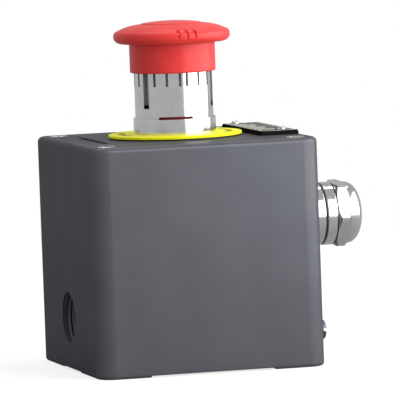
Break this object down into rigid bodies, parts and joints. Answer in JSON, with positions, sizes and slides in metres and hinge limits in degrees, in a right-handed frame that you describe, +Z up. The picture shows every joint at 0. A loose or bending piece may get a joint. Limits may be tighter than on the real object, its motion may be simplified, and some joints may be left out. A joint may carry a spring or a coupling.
{
  "type": "emergency stop button",
  "caption": "Boxed emergency stop station: red mushroom push-button that latches and turns to release, on a yellow disc and grey metal box with a cable gland and an open conduit entry.",
  "frame": {"origin": "centre of the box's underside, on the button's axis", "axes": "+X out of the cable gland, +Z up out of the button, -Y the front wall beside the earth screw"},
  "size_m": [0.104, 0.08, 0.1178],
  "materials": {
    "case_grey": "satin powder coat",
    "legend_yellow": "smooth satin",
    "head_red": "moulded satin gloss",
    "sleeve_red": "moulded",
    "sleeve_black": "moulded",
    "guide_grey": "moulded",
    "bezel_chrome": "satin chrome",
    "gland_nickel": "nickel plate",
    "seal_rubber": "matte",
    "plate_black": "matte",
    "plate_face": "anodised and printed",
    "screw_steel": "bright",
    "zinc_steel": "zinc plate",
    "earth_dark_steel": "blackened",
    "spring_steel": "drawn wire",
    "contact_brass": "bright",
    "block_black": "moulded",
    "collar_metal": "die cast",
    "stem_plastic": "moulded",
    "claw_plastic": "moulded",
    "carrier_red": "moulded"
  },
  "bodies": {
    "enclosure": {"bezel_body": "bezel_chrome", "block_housing_a": "block_black", "block_housing_b": "block_black", "collar_screw_left": "zinc_steel", "collar_screw_right": "zinc_steel", "collar_washer": "seal_rubber", "contact_spring_a": "spring_steel", "contact_spring_b": "spring_steel", "earth_nut": "zinc_steel", "earth_screw": "earth_dark_steel", "earth_washer": "zinc_steel", "enclosure_base": "case_grey", "fixed_contact_a_front": "contact_brass", "fixed_contact_a_rear": "contact_brass", "fixed_contact_b_front": "contact_brass", "fixed_contact_b_rear": "contact_brass", "fixing_collar": "collar_metal", "gland_body": "gland_nickel", "gland_claw": "claw_plastic", "gland_dome_nut": "gland_nickel", "gland_locknut": "gland_nickel", "gland_o_ring": "seal_rubber", "gland_seal": "seal_rubber", "latch_ring": "contact_brass", "legend_disc": "legend_yellow", "legend_gasket": "seal_rubber", "lid": "case_grey", "lid_screw_bl": "screw_steel", "lid_screw_br": "screw_steel", "lid_screw_fl": "screw_steel", "lid_screw_fr": "screw_steel", "lid_seal": "seal_rubber", "marking_plate": "plate_face", "plate_backing": "plate_black", "plate_rivet_front": "screw_steel", "plate_rivet_rear": "screw_steel", "terminal_screw_a_front": "zinc_steel", "terminal_screw_a_rear": "zinc_steel", "terminal_screw_b_front": "zinc_steel", "terminal_screw_b_rear": "zinc_steel"},
    "plunger": {"plunger_sleeve": "sleeve_black", "indicator_ring": "sleeve_red", "guide_sleeve": "guide_grey", "plunger_stem": "stem_plastic", "pusher_plate": "stem_plastic", "stem_clip": "zinc_steel", "return_spring": "spring_steel", "twist_spring": "spring_steel"},
    "head": {"mushroom_head": "head_red", "head_cap": "head_red", "head_screw": "zinc_steel", "head_washer": "zinc_steel", "head_nut": "zinc_steel"},
    "carrier_a": {"contact_carrier_a": "carrier_red", "contact_bridge_a": "contact_brass"},
    "carrier_b": {"contact_carrier_b": "carrier_red", "contact_bridge_b": "contact_brass"}
  },
  "joints": [
    {"name": "head_press", "type": "slide", "parent": "enclosure", "child": "plunger", "axis": [0, 0, -1], "range_m": [0, 0.004], "stiffness_N_per_m": 900, "springref_m": -0.006, "deforming": ["return_spring"]},
    {"name": "head_turn", "type": "hinge", "parent": "plunger", "child": "head", "pos_m": [0, 0, 0.1], "axis": [0, 0, -1], "range_deg": [0, 45], "stiffness_Nm_per_rad": 0.05, "springref_deg": -11.46, "deforming": ["twist_spring"]},
    {"name": "contact_slide_a", "type": "slide", "parent": "enclosure", "child": "carrier_a", "axis": [0, 0, -1], "range_m": [0, 0.004], "deforming": ["contact_spring_a"]},
    {"name": "contact_slide_b", "type": "slide", "parent": "enclosure", "child": "carrier_b", "axis": [0, 0, -1], "range_m": [0, 0.004], "deforming": ["contact_spring_b"]}
  ],
  "couplings": [
    {"joint": "contact_slide_a", "follows": "head_press", "ratio": 1},
    {"joint": "contact_slide_b", "follows": "head_press", "ratio": 1}
  ]
}
